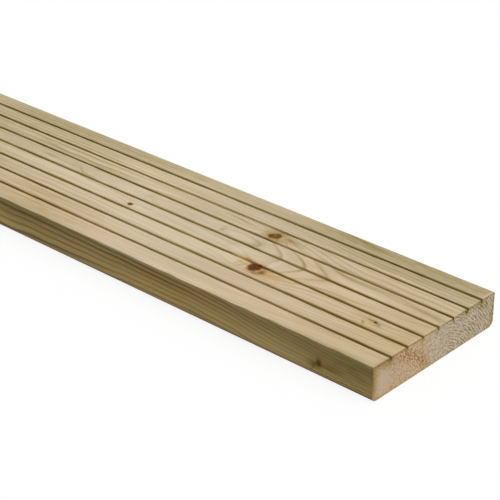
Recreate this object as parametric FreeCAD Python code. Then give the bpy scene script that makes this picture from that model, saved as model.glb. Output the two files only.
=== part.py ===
"""Grooved softwood decking board: one length of planed timber with drainage grooves on its walking face.

The board lies flat with its grooved face up. X runs along its length, Y across its width and Z up through its
thickness. The origin is at the middle of the underside. All sizes are in millimetres.
"""

import FreeCAD
import Part

import math
import os

# Stock size
board_length = 1800.0
board_width = 120.0
board_thickness = 24.0

# Drainage grooves in the walking face: as many as the width has room for
groove_pitch = 15.0
first_groove_from_edge = 16.5  # from the front edge to the first groove's centre
least_last_land = 8.0  # from the last groove's centre to the back edge
groove_width = 2.2  # across the mouth, before its shoulders are eased
groove_depth = 2.2
groove_root_width = 1.0  # between the two walls at the bottom, before the root is rounded
groove_root_radius = 0.35
groove_shoulder_radius = 0.3

# Eased long edges
top_arris_radius = 1.0
bottom_arris_radius = 4.0


def groove_centres():
    """Return each groove's place across the width, from the front edge to the back."""
    first_centre = first_groove_from_edge - board_width / 2
    room_behind_first = board_width - first_groove_from_edge - least_last_land
    groove_count = int(room_behind_first // groove_pitch) + 1
    return [first_centre + number * groove_pitch for number in range(groove_count)]


def groove_corners(centre):
    """Return one groove's corners as (y, z, radius): shoulder, two root corners and the other shoulder."""
    half_mouth = groove_width / 2
    half_root = groove_root_width / 2
    root_height = board_thickness - groove_depth
    return [
        (centre - half_mouth, board_thickness, groove_shoulder_radius),
        (centre - half_root, root_height, groove_root_radius),
        (centre + half_root, root_height, groove_root_radius),
        (centre + half_mouth, board_thickness, groove_shoulder_radius),
    ]


def section_corners():
    """Return the corners of the whole cross-section as (y, z, radius), in order round the outline."""
    front_edge = -board_width / 2
    back_edge = board_width / 2
    corners = [
        (back_edge, 0.0, bottom_arris_radius),
        (front_edge, 0.0, bottom_arris_radius),
        (front_edge, board_thickness, top_arris_radius),
    ]
    for centre in groove_centres():
        corners += groove_corners(centre)
    corners.append((back_edge, board_thickness, top_arris_radius))
    return corners


def rounded_corner(before, corner, after, radius):
    """Return the start, middle and end of the arc that rounds a corner and is tangent to both its sides."""
    towards_before = (before - corner).normalize()
    towards_after = (after - corner).normalize()
    half_angle = towards_before.getAngle(towards_after) / 2
    tangent_length = radius / math.tan(half_angle)
    towards_centre = (towards_before + towards_after).normalize()
    arc_height = radius / math.sin(half_angle) - radius
    start = corner + towards_before * tangent_length
    middle = corner + towards_centre * arc_height
    end = corner + towards_after * tangent_length
    return start, middle, end


def section_face():
    """Return the cross-section as a face in the plane of the board's far end."""
    far_end = -board_length / 2
    corners = section_corners()
    places = [FreeCAD.Vector(far_end, y, z) for y, z, _ in corners]
    arcs = [
        rounded_corner(places[i - 1], places[i], places[(i + 1) % len(places)], radius)
        for i, (_, _, radius) in enumerate(corners)
    ]
    edges = []
    for i, (start, middle, end) in enumerate(arcs):
        previous_end = arcs[i - 1][2]
        edges.append(Part.LineSegment(previous_end, start).toShape())
        edges.append(Part.Arc(start, middle, end).toShape())
    return Part.Face(Part.Wire(edges))


def decking_board():
    """Return the board as one solid, its section carried along the whole length."""
    return section_face().extrude(FreeCAD.Vector(board_length, 0, 0))


def main():
    """Build the board and write it to parts/."""
    os.makedirs("parts", exist_ok=True)
    board = decking_board()
    board.exportStep("parts/decking_board.step")
    print("board volume in litres", round(board.Volume / 1e6, 4), "valid", board.isValid())


main()
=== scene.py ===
"""The look of a grooved softwood decking board: its planed and sawn surfaces, its grain, knots and stain.

The board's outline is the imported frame's. Its wood is worked out as one solid: growth rings round a pith that runs
just below the board, and knots that grow outwards from that pith. Each face shows the rings and knots where it cuts
them, so that the pattern runs on round every edge.

Lengths are in metres. "Along" is measured from the near end of the board, which is its end at +X.
"""

import logging
import math
from dataclasses import dataclass, replace
from enum import Enum, IntEnum
from typing import Any

import bpy
import numpy as np
from mathutils import Matrix, Vector


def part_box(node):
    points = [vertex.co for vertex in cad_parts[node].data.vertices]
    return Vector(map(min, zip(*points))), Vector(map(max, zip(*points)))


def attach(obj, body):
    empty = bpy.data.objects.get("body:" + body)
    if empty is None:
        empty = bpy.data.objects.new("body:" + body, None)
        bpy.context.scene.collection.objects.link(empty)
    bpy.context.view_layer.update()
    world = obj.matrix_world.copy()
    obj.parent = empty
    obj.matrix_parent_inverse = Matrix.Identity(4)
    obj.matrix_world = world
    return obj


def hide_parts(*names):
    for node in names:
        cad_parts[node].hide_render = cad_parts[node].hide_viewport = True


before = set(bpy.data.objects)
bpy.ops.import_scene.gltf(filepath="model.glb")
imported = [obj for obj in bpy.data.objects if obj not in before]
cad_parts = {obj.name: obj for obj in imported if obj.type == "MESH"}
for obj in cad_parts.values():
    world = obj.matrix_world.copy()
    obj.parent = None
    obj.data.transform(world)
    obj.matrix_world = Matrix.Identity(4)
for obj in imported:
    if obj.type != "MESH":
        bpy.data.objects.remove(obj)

MM = 0.001
NODE = "decking_board"
PLAIN_WOOD = (205, 186, 153)
WHITE = (1.0, 1.0, 1.0, 1.0)

log = logging.getLogger("decking_board")

Colour = tuple[float, float, float]
Array = np.ndarray
Socket = bpy.types.NodeSocket
NodeTree = bpy.types.NodeTree
Material = bpy.types.Material


def srgb(red: int, green: int, blue: int) -> Colour:
    """Turn an 8-bit display colour into the linear one that a shader takes, by the curve that displays use."""
    shown = np.array([red, green, blue]) / 255.0
    linear = np.where(shown <= 0.04045, shown / 12.92, ((shown + 0.055) / 1.055) ** 2.4)
    return tuple(float(v) for v in linear)


def coat(red: int, green: int, blue: int) -> Colour:
    """Return the share of each colour of light that a stain lets through: the linear colour that it gives to plain
    wood, over the plain wood's own."""
    return tuple(stained / plain for stained, plain in zip(srgb(red, green, blue), srgb(*PLAIN_WOOD)))


def eased(value: Array, start: float, end: float) -> Array:
    """Rise smoothly from 0 at the start to 1 at the end: three times the square less twice the cube of the share."""
    share = np.clip((value - start) / (end - start), 0, 1)
    return share * share * (3 - 2 * share)


def ripple(at: Array, wavelengths: tuple[float, ...], seed: int) -> Array:
    """Average cosines of the given wavelengths, each with its own seeded phase, which gives about -1 to 1."""
    phases = np.random.default_rng(seed).uniform(0, 2 * np.pi, len(wavelengths))
    waves = [np.cos(2 * np.pi * at / length + phase) for length, phase in zip(wavelengths, phases)]
    return np.sum(waves, axis=0) / len(wavelengths)


@dataclass(frozen=True)
class Curve:
    """A smooth curve through stated points along the board: straight from point to point, then blurred.

    Attributes:
        points: pairs of the distance along in millimetres and the curve's value there, in rising order.
        blur: the standard deviation of the Gaussian that blurs it, in metres.
    """

    points: tuple[tuple[float, float], ...]
    blur: float = 8.0 * MM

    def at(self, along: Array) -> Array:
        """Read the curve at places along: evenly spaced samples, each made the Gaussian-weighted mean of its
        neighbours."""
        places, values = np.array(self.points).T
        steps_a_blur, reach, margin = 4, 12, 20
        step = self.blur / steps_a_blur
        samples = np.arange(-margin * step, places[-1] * MM + margin * step, step)
        weights = np.exp(-0.5 * (np.arange(-reach, reach + 1) / steps_a_blur) ** 2)
        padded = np.pad(np.interp(samples, places * MM, values), reach, mode="edge")
        return np.interp(along, samples, np.convolve(padded, weights / weights.sum(), mode="valid"))


class KnotTone(Enum):
    """How a knot has coloured, as the number that its material reads."""

    RED_BROWN = 0.0
    OLIVE_BROWN = 0.5
    NEARLY_BLACK = 1.0


class Tint(Enum):
    """What a soft patch does to the wood, as the name of the attribute that carries it.

    Most of them colour it. A clear patch lets the growth rings show more, and a faded one has less stain in its
    grooves.
    """

    OCHRE = "ochre"
    OLIVE = "olive"
    PINK = "pink"
    ORANGE = "orange"
    BROWN = "brown"
    PALE = "pale"
    DARK = "dark"
    CLEAR = "clear"
    FADED = "faded"


class Face(IntEnum):
    """The board's faces, as the numbers of their material slots."""

    WALKING = 0
    FRONT = 1
    UNDERSIDE = 2
    ENDS = 3
    BACK = 4


@dataclass(frozen=True)
class Knot:
    """A branch in the wood: a cone that starts at the pith and widens on its way out. Sizes are in millimetres.

    Attributes:
        along: from the near end to where its axis leaves the wood.
        across: that point's place across the board.
        height: that point's height above the underside.
        radius: the knot's radius there, across the board.
        tone: its colour.
        swirl: by how many rings it pushes the grain outwards.
        stretch: its length along the board for its breadth.
    """

    along: float
    across: float
    height: float
    radius: float
    tone: KnotTone
    swirl: float = 1.6
    stretch: float = 1.0


@dataclass(frozen=True)
class Patch:
    """A soft oval on one face of the wood. Sizes are in millimetres, turn in degrees.

    Attributes:
        tint: what it does to the colour.
        along: its middle's distance along the board, or across it on an end.
        aside: its middle's place across the board, or its height on an end or a long edge.
        half_length: its Gaussian reach along its own length.
        half_width: its Gaussian reach across that.
        strength: the tint at its middle. Less than 0 takes some of that tint away again.
        turn: from the board's length to the oval's own, anticlockwise as the face is seen with the near end right.
    """

    tint: Tint
    along: float
    aside: float
    half_length: float
    half_width: float
    strength: float
    turn: float = 0.0

    @property
    def is_fine(self) -> bool:
        """Tell whether it is too narrow for the mesh's points to carry, so that the shader draws it."""
        least_on_mesh = 2.8
        narrow = min(self.half_length, self.half_width) < least_on_mesh
        return narrow and self.tint not in (Tint.CLEAR, Tint.FADED)

    def weight(self, along: Array, aside: Array) -> Array:
        """Work out the turned two-way Gaussian, 1 at its middle times the strength."""
        ahead, beside = self.along * MM - along, aside - self.aside * MM
        turn = math.radians(self.turn)
        lengthwise = (ahead * math.cos(turn) + beside * math.sin(turn)) / (self.half_length * MM)
        widthwise = (beside * math.cos(turn) - ahead * math.sin(turn)) / (self.half_width * MM)
        return self.strength * np.exp(-(lengthwise**2) - widthwise**2)


def patch_list(rows: dict[Tint, tuple[tuple[float, ...], ...]]) -> tuple[Patch, ...]:
    """List a surface's patches from the numbers of each tint's, in the order of a patch's attributes."""
    return tuple(Patch(tint, *numbers) for tint, group in rows.items() for numbers in group)


@dataclass(frozen=True)
class Swelling:
    """A place where the rings bulge outwards, so that a face cuts ovals there. Sizes are in millimetres.

    Attributes:
        along: its middle's distance from the near end.
        across: its middle's place across the board.
        half_length: its Gaussian reach along the board.
        half_width: its Gaussian reach across it.
        rings: by how many rings it bulges.
    """

    along: float
    across: float
    half_length: float
    half_width: float
    rings: float


@dataclass
class Section:
    """The board's cross-section, as in the frame: lands and grooves above, a plain underside, eased edges.

    Attributes:
        width: from edge to edge.
        thickness: from the underside to the walking face.
        groove_pitch: from one groove's centre to the next.
        first_groove_from_edge: from the front edge to the first one's centre.
        least_last_land: the least from the last one's centre to the back edge.
        groove_width: of its mouth, before its shoulders are eased.
        groove_depth: below the walking face.
        groove_root_width: of its bottom, before it is rounded.
        groove_root_radius: of the bottom's two corners.
        groove_shoulder_radius: of the two shoulders.
        top_arris_radius: of the upper long edges.
        bottom_arris_radius: of the lower long edges.
    """

    width: float
    thickness: float
    groove_pitch: float = 15.0 * MM
    first_groove_from_edge: float = 16.5 * MM
    least_last_land: float = 8.0 * MM
    groove_width: float = 2.2 * MM
    groove_depth: float = 2.2 * MM
    groove_root_width: float = 1.0 * MM
    groove_root_radius: float = 0.35 * MM
    groove_shoulder_radius: float = 0.3 * MM
    top_arris_radius: float = 1.0 * MM
    bottom_arris_radius: float = 4.0 * MM

    def groove_centres(self) -> Array:
        """Return each groove's place across the board, from front to back."""
        room = self.width - self.first_groove_from_edge - self.least_last_land
        count = int(room // self.groove_pitch) + 1
        return self.first_groove_from_edge - self.width / 2 + self.groove_pitch * np.arange(count)

    def rounded_groove(self) -> tuple[Array, Array]:
        """Work out one groove's profile, from its front shoulder to its back one.

        The groove is a trapezium. Each of its four corners is replaced by points on the arc that is tangent to the
        corner's two sides: the arc's centre lies on the corner's bisector, at the radius over the sine of half the
        angle.

        Returns:
            The points' places across, from the groove's centre, and their heights, from the land.
        """
        half_mouth, half_root, beyond = self.groove_width / 2, self.groove_root_width / 2, self.groove_width
        corners = np.array([
            (-beyond - half_mouth, 0), (-half_mouth, 0), (-half_root, -self.groove_depth),
            (half_root, -self.groove_depth), (half_mouth, 0), (beyond + half_mouth, 0),
        ])
        shoulder, root = self.groove_shoulder_radius, self.groove_root_radius
        shares = np.linspace(0, 1, 3)[:, None]
        points = []
        for before, corner, after, radius in zip(corners, corners[1:], corners[2:], (shoulder, root, root, shoulder)):
            to_before = (before - corner) / np.linalg.norm(before - corner)
            to_after = (after - corner) / np.linalg.norm(after - corner)
            half_angle = math.acos(float(to_before @ to_after)) / 2
            tangent = radius / math.tan(half_angle)
            bisector = (to_before + to_after) / np.linalg.norm(to_before + to_after)
            centre = corner + bisector * radius / math.sin(half_angle)
            start, end = corner + to_before * tangent - centre, corner + to_after * tangent - centre
            spokes = start * (1 - shares) + end * shares
            points.append(centre + spokes * radius / np.linalg.norm(spokes, axis=1, keepdims=True))
        profile = np.concatenate(points)
        return profile[:, 0], profile[:, 1]

    def columns(self, land_steps: tuple[int, ...]) -> Array:
        """Choose the places across the board that the mesh has its columns at.

        Args:
            land_steps: into how many steps each land is divided, from front to back.

        Returns:
            The places, in rising order.
        """
        quarter, half_width, least_gap = np.linspace(0, np.pi / 2, 5), self.width / 2, 0.02 * MM
        groove_across, _ = self.rounded_groove()
        grooves = (self.groove_centres()[:, None] + groove_across[None, :]).ravel()
        arrises = [half_width - radius * (1 - np.cos(quarter))
                   for radius in (self.top_arris_radius, self.bottom_arris_radius)]
        places = np.concatenate([grooves, *arrises, *(-arris for arris in arrises)])
        first_free = -half_width + self.bottom_arris_radius
        starts = np.concatenate([[first_free], self.groove_centres() + groove_across[-1]])
        ends = np.concatenate([self.groove_centres() + groove_across[0], [-first_free]])
        lands = [np.linspace(start, end, steps + 1) for start, end, steps in zip(starts, ends, land_steps)]
        places = np.unique(np.round(np.concatenate([places, *lands]), 7))
        return places[np.concatenate([[True], np.diff(places) > least_gap])]

    def beside_groove(self, across: Array) -> Array:
        """Return the signed distance from the nearest groove's centre."""
        centres = self.groove_centres()
        return across - centres[np.argmin(np.abs(across[..., None] - centres), axis=-1)]

    def top(self, across: Array) -> Array:
        """Return the height of the walking face: flat lands, the grooves' profile and quarter-round arrises."""
        groove = np.interp(self.beside_groove(across), *self.rounded_groove(), left=0, right=0)
        return self.thickness + groove - self.quarter_round(across, self.top_arris_radius)

    def bottom(self, across: Array) -> Array:
        """Return the height of the underside: flat, rising in a quarter circle at each edge."""
        return self.quarter_round(across, self.bottom_arris_radius)

    def quarter_round(self, across: Array, radius: float | Array) -> Array:
        """Return how far a rounded arris cuts back the face: radius less the circle's height at that place."""
        into_arris = np.clip(np.abs(across) - (self.width / 2 - radius), 0, radius)
        return radius - np.sqrt(radius**2 - into_arris**2)

    def depth_in_end(self, across: Array, height: Array) -> Array:
        """Measure how far points of an end lie from its outline.

        It is the least distance to many points along the top's outline, or to the plain sides, underside and lower
        arrises.

        Args:
            across: across the board.
            height: above the underside.

        Returns:
            The depth of each point in from the outline.
        """
        outline_points = 1600
        outline_across = np.linspace(-self.width / 2, self.width / 2, outline_points)
        outline_height = self.top(outline_across)
        to_top = np.hypot(across[:, None] - outline_across, height[:, None] - outline_height).min(axis=1)
        to_side, radius = self.width / 2 - np.abs(across), self.bottom_arris_radius
        in_arris = (to_side < radius) & (height < radius)
        to_arris = radius - np.hypot(radius - to_side, radius - height)
        plain = np.where(in_arris, to_arris, np.minimum(to_side, height))
        return np.maximum(np.minimum(to_top, plain), 0)


@dataclass
class Wood:
    """The solid wood: rings round a pith below the board, the knots, and the patches of tint.

    Attributes:
        half_width: half the board's width.
        face_height: the walking face's height.
        ring_width: from one growth ring to the next.
        pith_height: the pith's height, below the underside.
        flame: the ring that the walking face touches at the top of the arch. It comes to 1 less at the oval.
        crown: that line's place across the board, in millimetres.
        swellings: where the rings bulge outwards.
        front_rings: the ring number halfway up the front edge's face.
        front_lean: how many more rings lie between its foot and its top than the plain arch has there.
        back_rings: the ring number halfway up the back edge's face.
        knots: its branches.
        face_patches: the tints of the walking face and the underside.
        front_patches: those of the front edge, among them a painted shade line along its lower edge.
        back_patches: those of the back edge.
        end_patches: those of the near end, placed from its middle towards the front edge.
        far_end_patches: those of the far end, placed from its middle towards the back edge.
        free_middle: how far from the board's middle line the rings follow the plain arch alone.
        waver: by how many rings they stray along the board.
    """

    half_width: float
    face_height: float
    ring_width: float = 2.0 * MM
    pith_height: float = -22.0 * MM
    flame: Curve = Curve((
        (0, 2.8), (45, 2.42), (75, 2.15), (86, 2.0), (95, 1.5), (105, 1.0), (123, 0.02), (135, -0.45), (147, -0.64),
        (165, -0.64), (183, -0.62), (215, -0.45), (252, 0.0), (280, 0.42), (310, 0.58), (335, 0.62), (360, 0.62),
        (400, 0.56), (440, 0.3), (520, -0.4), (600, -0.1), (700, 1.2), (790, 2.1), (900, 1.7), (980, 0.4),
        (1060, -0.6), (1180, -0.1), (1290, 1.3), (1380, 2.4), (1500, 1.9), (1620, 0.6), (1720, -0.2), (1800, 0.2),
    ), 5 * MM)
    crown: Curve = Curve((
        (0, 3.2), (60, 1.5), (110, 1.2), (140, 4.0), (165, 7.6), (220, 9.0), (335, 7.4), (500, 5.0), (800, -3.0),
        (1100, 4.0), (1400, 8.0), (1800, 1.0),
    ))
    front_rings: Curve = Curve((
        (0, 15.7), (12, 15.5), (50, 14.4), (75, 13.9), (92, 13.4), (110, 12.6), (125, 12.1), (150, 11.8),
        (165, 11.8), (250, 12.0), (325, 12.1), (450, 12.3), (600, 13.2), (800, 14.6), (950, 13.0), (1150, 12.4),
        (1400, 15.0), (1650, 13.2), (1800, 13.6),
    ))
    front_lean: Curve = Curve((
        (0, 3.6), (40, 3.4), (80, 2.2), (120, 2.0), (190, 1.5), (250, 0.0), (330, -1.1), (460, -0.4), (800, 1.2),
        (1100, -0.6), (1500, 1.0), (1800, 0.2),
    ), 14 * MM)
    back_rings: Curve = Curve((
        (0, 12.9), (60, 12.2), (110, 11.4), (150, 10.6), (200, 10.1), (335, 9.2), (450, 8.8), (600, 9.4),
        (800, 11.2), (1000, 10.4), (1200, 9.6), (1400, 11.6), (1650, 10.4), (1800, 10.8),
    ))
    swellings: tuple[Swelling, ...] = (
        Swelling(164.5, 8.2, 18.0, 6.9, 1.2),
        Swelling(700.0, -6.0, 30.0, 5.0, 0.9),
        Swelling(1190.0, 10.0, 26.0, 6.0, 1.2),
    )
    knots: tuple[Knot, ...] = (
        Knot(130.9, -16.3, 24, 4.4, KnotTone.RED_BROWN, 1.5, 1.02),
        Knot(148.2, 24.6, 24, 3.1, KnotTone.OLIVE_BROWN, 1.2),
        Knot(150.8, 23.2, 24, 3.0, KnotTone.OLIVE_BROWN, 0.4),
        Knot(31.0, -19.0, 24, 0.7, KnotTone.NEARLY_BLACK, 0.4, 1.5),
        Knot(253.8, -7.3, 24, 1.55, KnotTone.NEARLY_BLACK, 0.4, 1.3),
        Knot(566.0, 34.0, 24, 5.5, KnotTone.OLIVE_BROWN, 2.2),
        Knot(581.0, -36.0, 24, 4.0, KnotTone.RED_BROWN, 1.8),
        Knot(742.0, -4.0, 24, 1.8, KnotTone.NEARLY_BLACK, 0.6, 1.5),
        Knot(934.0, 12.0, 24, 6.0, KnotTone.RED_BROWN, 2.4, 1.1),
        Knot(951.0, -44.0, 24, 4.5, KnotTone.OLIVE_BROWN, 1.8),
        Knot(968.0, 60.0, 13, 4.0, KnotTone.OLIVE_BROWN, 1.6),
        Knot(1310.0, -20.0, 24, 5.0, KnotTone.OLIVE_BROWN, 2.0, 1.2),
        Knot(1327.0, 39.0, 24, 3.4, KnotTone.NEARLY_BLACK, 1.4),
        Knot(1343.0, -60.0, 9, 3.0, KnotTone.RED_BROWN, 1.4),
        Knot(1655.0, 5.0, 24, 5.2, KnotTone.RED_BROWN, 2.2),
        Knot(1672.0, 60.0, 8, 2.4, KnotTone.NEARLY_BLACK, 1.0),
    )
    face_patches: tuple[Patch, ...] = patch_list({
        Tint.CLEAR: (
            (98, 4.5, 34, 10, 0.75), (165, 8, 26, 8, 0.22), (30, 8, 45, 14, 0.25), (60, 38, 70, 12, 0.25),
            (60, -54, 90, 6, -0.22), (330, 24, 60, 8, 0.7), (420, 44, 80, 16, 0.35),
        ),
        Tint.FADED: (
            (190, 0, 110, 90, 0.3), (0, 0, 1.6, 80, 0.4), (143, -12.5, 11, 4, 0.8), (129, -12.8, 1.5, 3, 0.4),
            (139, 17, 8, 4, 0.5), (116, 17, 16, 4, 0.25), (158, 17, 10, 4, -0.3), (166, 31.5, 22, 4, 0.45),
            (240, 31.5, 60, 5, 0.4), (60, 17, 34, 5, 0.35), (70, 31.5, 60, 5, 0.3), (55, -43.5, 60, 5, 0.25),
            (52, 1.9, 34, 5, -0.4), (120, -28.5, 20, 4, 0.2), (118, 1.9, 16, 4, 0.2), (250, 17, 40, 4, -0.2),
        ),
        Tint.OCHRE: (
            (0, -30, 75, 34, 0.55), (70, 8, 60, 14, 0.25), (320, -53, 60, 9, 0.5), (100, -53, 50, 6, 0.3),
            (300, -36, 45, 7, 0.35), (92, -36, 34, 6, 0.4), (30, 25, 40, 5, 0.2), (104, -18, 16, 6, 0.5),
            (18, 10.6, 26, 1.9, 0.5, -5), (55, -9, 28, 1.3, 0.5, 3), (12, -5.5, 22, 2.2, 0.45, 8),
            (225, 31.5, 60, 1.5, 0.35), (110, 27.3, 6, 1.2, 0.7, -8), (141, -17.5, 5, 3.6, 0.6),
            (1250, 0, 260, 40, 0.4),
        ),
        Tint.OLIVE: (
            (40, 56, 110, 9, 0.95), (40, 40, 90, 6, 0.5), (330, 56, 150, 8, 0.65), (430, -40, 66, 36, 0.75),
            (480, 10, 80, 50, 0.3), (340, 38, 40, 6, 0.35), (110, 56, 30, 6, 0.25), (30, -58.4, 32, 2, 0.55),
            (300, -54, 50, 9, 0.35), (300, -36, 45, 7, 0.2), (430, 40, 70, 14, 0.35), (420, 24, 60, 10, 0.35),
            (318, 20.5, 42, 2, 0.55), (366, 23.5, 14, 2, 0.4, -8), (362, -50, 36, 12, 0.15), (131, 24.3, 8, 3.2, 0.3),
            (158, 27.5, 12, 3, 0.3), (62, 13.2, 26, 1.5, 0.5), (14, 10.6, 24, 1.7, 0.45, -5),
            (251, 10.5, 3.5, 4.5, 0.5), (149.5, 8, 3.4, 4.6, 0.5, 12), (182, 7.8, 2.2, 3.6, 0.75),
            (163, -4, 3.5, 5, 0.3), (354, 9.6, 7, 1.6, 0.6), (335, 8.8, 14, 1, 0.5), (317.5, 6.8, 5.5, 1.1, 0.6, -32),
            (308, 4.6, 8, 0.8, 0.8, -4), (180, 26.4, 13, 0.9, 0.7, -6), (272, -4.4, 14, 0.7, 0.5, -9),
            (139.8, -20.5, 1.4, 3.4, 0.5, -24), (143.5, -18.5, 1.6, 3.6, 0.3, -14), (29, -20.6, 5, 1.8, 0.3, -20),
            (1560, 40, 200, 22, 0.5),
        ),
        Tint.PALE: (
            (470, 10, 70, 50, 0.25), (92, -36, 34, 6, 0.85), (255, -2, 95, 18, 0.58), (205, -26, 50, 16, 0.7),
            (362, -50, 36, 12, 0.3), (152, -4, 10, 4, 0.7), (124, -6, 8, 3.4, 0.6), (46, 7, 34, 5, 0.6),
            (32, -7, 32, 5, 0.45), (172, 8, 12, 3.4, 0.5),
        ),
        Tint.PINK: (
            (304, -38, 40, 8, 0.8), (240, -52, 60, 6, 0.7), (110, -38, 60, 9, 0.2), (262, -6, 18, 5, 0.5),
            (800, -20, 160, 20, 0.5),
        ),
        Tint.ORANGE: (
            (118, -18.5, 10, 5, 0.85), (132, 24.3, 8, 3.6, 0.4), (37, -20, 9, 4, 0.4), (147, 31.6, 13, 1.2, 0.6),
            (144, -11.6, 10, 2.2, 0.8, -5), (123.4, -19, 3.6, 2.7, 0.5), (925, 12, 16, 6, 0.6),
            (1300, -20, 14, 5, 0.5), (1645, 5, 14, 5, 0.6),
        ),
        Tint.BROWN: (
            (149, 29, 8, 2.6, 0.5), (147.3, 25, 1.5, 2.2, 0.8, 32), (152, 22.6, 1.5, 2, 0.8, 32),
            (148, 20, 5.5, 2.6, 0.6), (141.5, 20.8, 5, 2.6, 0.35, -20), (138, 25.8, 4.5, 1.8, 0.75, -10),
            (156, 24, 3.5, 3, 0.5), (139, -11.8, 5, 1.8, 0.8, -8), (123.8, -17.4, 2.6, 2.7, 0.45, -30),
            (122.2, -20.2, 3, 2, 0.8, 20), (127.2, -22.4, 3.8, 1.5, 1, -10), (35, -18.6, 2.6, 0.9, 0.6, 10),
            (27.8, -20.2, 2, 0.9, 0.5, -30), (37.1, -23.6, 0.9, 2, 0.7, 38), (260, -6.4, 6, 0.8, 0.35, -10),
            (105, 57.5, 14, 1.2, 0.45, -4), (90, 55, 12, 0.9, 0.4, -5),
        ),
        Tint.DARK: (
            (125.8, -13.4, 3, 1.1, 1.1, -4), (122.8, -18.8, 1.2, 2, 0.3, -30), (30.8, -19, 2, 1, 0.2, -14),
            (253.6, -7.4, 2.2, 1.3, 0.2),
        ),
    })
    front_patches: tuple[Patch, ...] = patch_list({
        Tint.CLEAR: ((240, 10, 120, 30, 0.62), (176, 10, 40, 30, 0.35), (1100, 10, 500, 30, 0.5)),
        Tint.OCHRE: ((175, 10.5, 70, 8, 0.5),),
        Tint.ORANGE: ((165, 18, 34, 6, 0.35), (260, 12.8, 70, 2.9, 0.25)),
        # The olive patch 0.8 mm up and 90 mm long is painted shade: the dark line under the front's lower edge, laid
        # again in the dark tint below.
        Tint.OLIVE: ((300, 10, 34, 5, 0.3), (18, 14, 32, 9, 1.05), (40, 0.8, 90, 1.2, 0.9), (310, 21, 60, 4, 0.5)),
        Tint.BROWN: (
            (33, 9.8, 9, 1.6, 0.8), (44, 8, 5, 2, 0.9), (22, 5.9, 26, 0.45, 0.6, 1), (22, 4.3, 30, 0.45, 0.7, 1),
            (16, 2.6, 26, 0.45, 0.8, 1),
        ),
        Tint.DARK: (
            (40.3, 10.6, 1.6, 2.4, 0.75, 8), (43.6, 8.4, 2.2, 0.9, 0.2, 35), (45.3, 5.4, 0.6, 2, 0.3, -25),
            # The last dark patch, 0.8 mm up and 90 mm long, is painted shade along the front's lower edge, with the
            # olive one above.
            (16, 4.3, 20, 0.35, 0.25, 1), (40, 0.8, 90, 1.2, 0.33),
        ),
        Tint.PALE: (
            (190, 7, 48, 7, 0.75), (90, 10, 60, 6, 0.25), (22, 6, 26, 3, 0.4), (22, 5.1, 24, 0.4, 0.6, 1),
            (18, 3.5, 24, 0.4, 0.6, 1),
        ),
    })
    back_patches: tuple[Patch, ...] = patch_list({
        Tint.CLEAR: ((900, 10, 900, 30, 0.5),),
        Tint.OCHRE: ((420, 14, 160, 7, 0.5),),
        Tint.OLIVE: ((90, 8, 120, 9, 0.5), (1400, 16, 200, 8, 0.5)),
        Tint.ORANGE: ((962, 12, 22, 5, 0.5),),
        Tint.BROWN: ((214, 15.5, 8, 0.9, 0.6, -4),),
    })
    end_patches: tuple[Patch, ...] = patch_list({
        Tint.PINK: ((50, 11, 7.5, 8.5, 1),),
        Tint.ORANGE: ((27, 17, 13, 3.8, 1, -26), (13.5, 8, 7, 3, 0.5, -50)),
        Tint.OCHRE: ((10.5, 5, 7, 3.4, 0.4, -40), (59.4, 11, 3.2, 14, 1.1), (-58, 6, 3, 8, 0.65)),
        Tint.OLIVE: (
            (50, 22, 10, 3.2, 0.9, -16), (45, 21.5, 3.6, 3, 0.7, -30), (26, 22.5, 5, 2, 0.5, -30),
            (13, 23, 3, 1.8, 0.5), (-1.5, 23, 3, 1.8, 0.5), (-17, 23, 3.4, 2, 0.6), (30, 23, 7, 2.4, 0.6),
            (-46, 21, 6, 3.2, 0.8, -35), (-31, 23, 4, 3, 0.6), (59.4, 17, 2.8, 6, 0.5),
        ),
    })
    far_end_patches: tuple[Patch, ...] = patch_list({
        Tint.PINK: ((-14, 9, 12, 6, 0.6),),
        Tint.ORANGE: ((22, 14, 9, 4, 0.5, 30),),
        Tint.OLIVE: ((-50, 20, 9, 4, 0.8, 20), (44, 22, 7, 3, 0.7, -20)),
        Tint.OCHRE: ((57, 10, 4, 12, 0.9),),
    })

    free_middle: float = 12.0 * MM
    waver: float = 0.10

    def from_pith(self, along: Array, across: Array, height: Array) -> Array:
        """Number the rings of the plain arch: the distance from the pith in ring widths, 0 at the top of the oval,
        raised by the flame."""
        distance = np.hypot(across - MM * self.crown.at(along), height - self.pith_height)
        return (distance - self.face_height + self.pith_height) / self.ring_width + self.flame.at(along)

    def rings(self, along: Array, across: Array, height: Array) -> Array:
        """Number the growth rings at points of the wood.

        The plain arch's number is drawn towards the stated one at each long edge, by an eased share of the way out
        to it, and by the same share towards the front edge it gains the lean, in proportion to the height above the
        middle. Each swelling and each knot pushes the rings outwards, which lowers the number near it by a Gaussian
        of the distance from its middle or axis that is longer along the board than across.

        Args:
            along: from the near end.
            across: across the board.
            height: above the underside.

        Returns:
            The ring number at each point, a smooth real number that is whole at the end of each year.
        """
        number = self.from_pith(along, across, height)
        middle = np.full(along.shape, self.face_height / 2)
        for side, stated in ((-1, self.front_rings), (1, self.back_rings)):
            edge = np.full(along.shape, side * self.half_width)
            short = stated.at(along) - self.from_pith(along, edge, middle)
            number = number + short * eased(side * across, self.free_middle, self.half_width)
        lean = self.front_lean.at(along) * (height / self.face_height - 0.5)
        number = number + lean * eased(-across, self.free_middle, self.half_width)
        number = number + self.waver * ripple(along, (0.083, 0.047, 0.031), 3)
        for bulge in self.swellings:
            ahead = (along - bulge.along * MM) / (bulge.half_length * MM)
            aside = (across - bulge.across * MM) / (bulge.half_width * MM)
            number = number - bulge.rings * np.exp(-(ahead**2) - aside**2)
        reach_in_radii, length_in_reaches = 1.9, 2.2
        for knot in self.knots:
            ahead, aside, _ = self.from_knot(knot, along, across, height)
            reach = reach_in_radii * knot.radius * MM
            push = np.exp(-((ahead / (length_in_reaches * reach)) ** 2) - (aside / reach) ** 2)
            number = number - knot.swirl * push
        return number

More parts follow.
